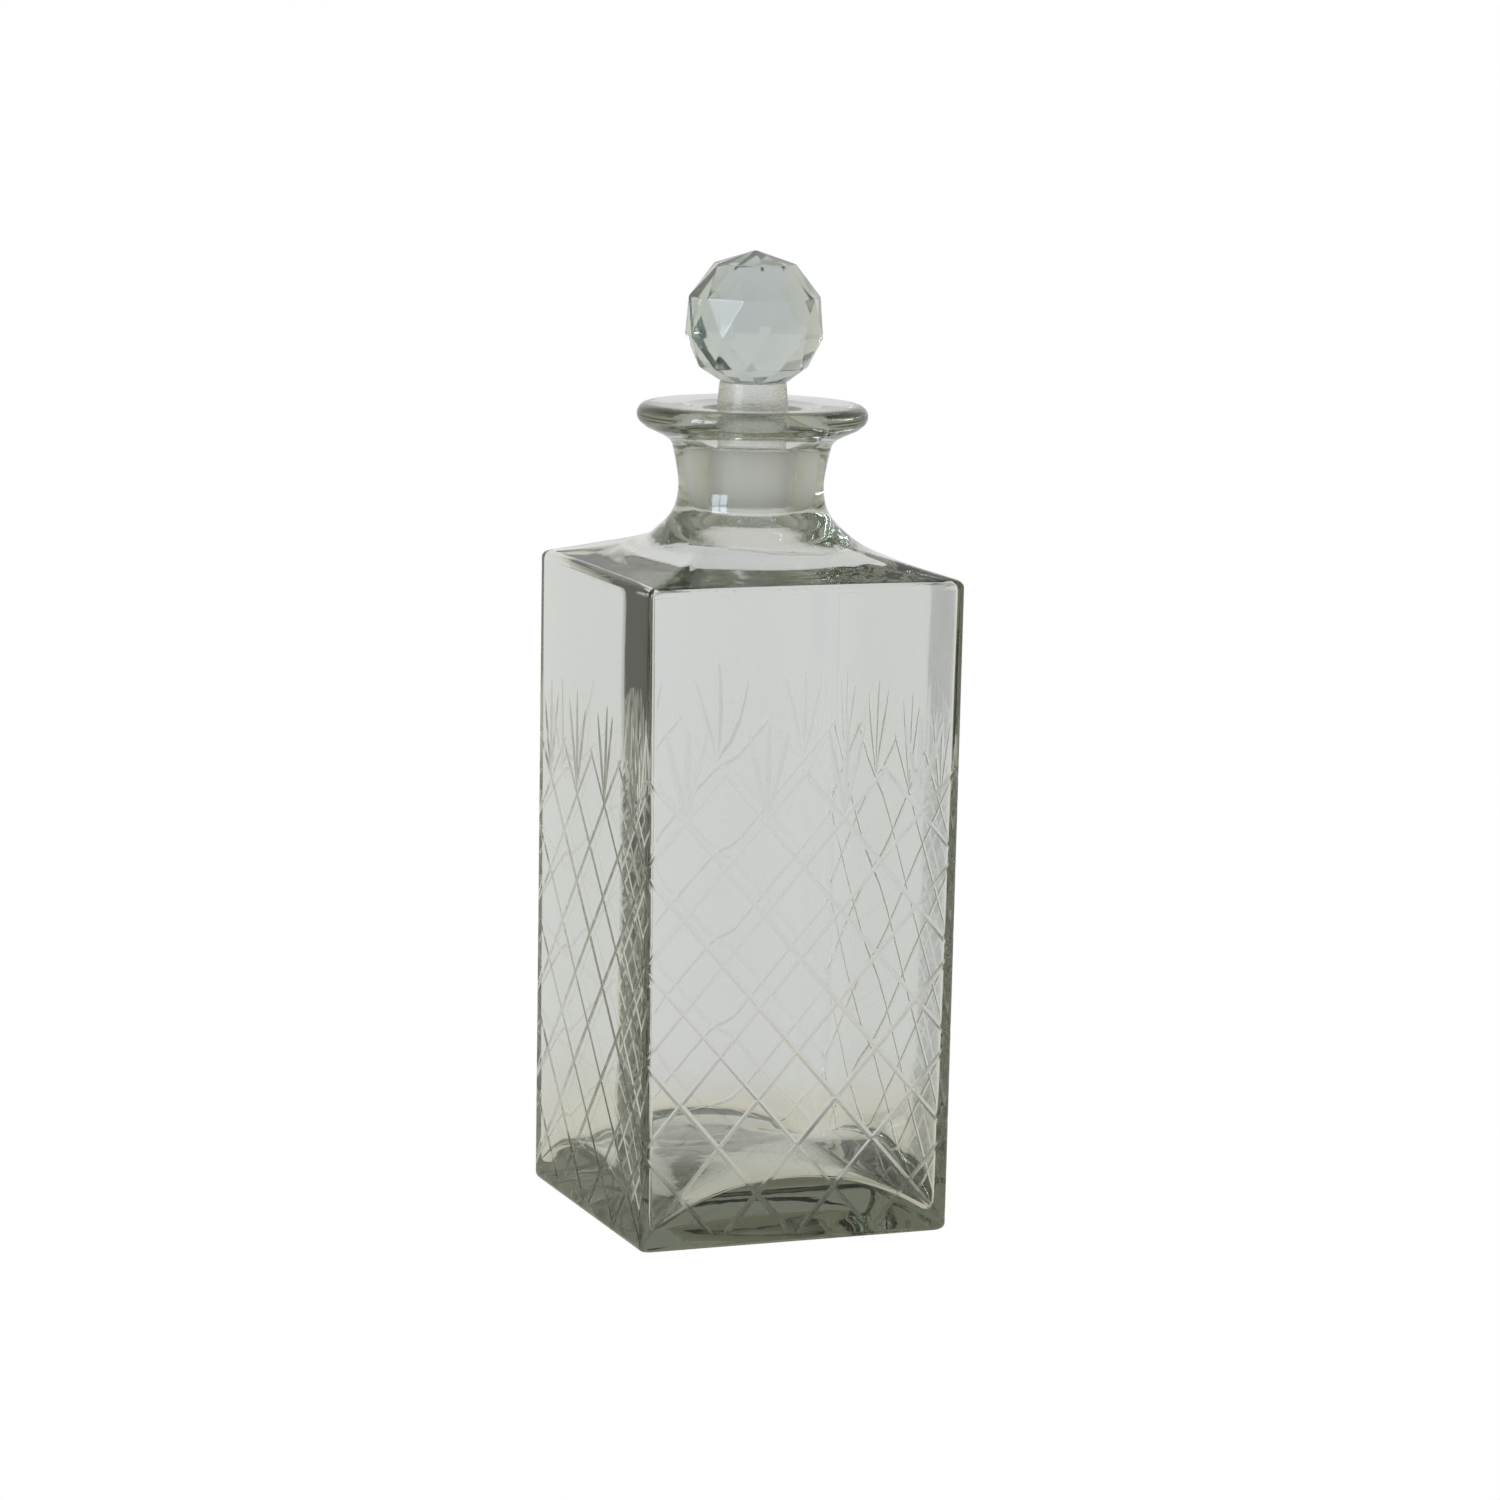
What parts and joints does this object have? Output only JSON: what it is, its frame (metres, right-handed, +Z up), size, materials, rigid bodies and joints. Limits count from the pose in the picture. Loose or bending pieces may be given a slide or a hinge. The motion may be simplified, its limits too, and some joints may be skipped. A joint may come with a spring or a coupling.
{
  "type": "cut glass decanter",
  "caption": "Square cut glass decanter with a waisted neck, a flat round lip and a ground stopper topped by a faceted ball knob.",
  "frame": {"origin": "centre of the foot, on the surface that the decanter stands on", "axes": "+Z up along the neck and stopper, +X and +Y out of two faces of the square body"},
  "size_m": [0.0912, 0.0912, 0.2685],
  "materials": {
    "blown_glass": "polished",
    "ground_glass": "ground",
    "cut_glass": "cut and polished"
  },
  "bodies": {
    "bottle": {"bottle": "blown_glass"},
    "stopper": {"stopper_plug": "ground_glass", "stopper_knob": "cut_glass"}
  },
  "joints": [
    {"name": "stopper_lift", "type": "slide", "parent": "bottle", "child": "stopper", "axis": [0, 0, 1], "range_m": [0, 0.07]}
  ]
}
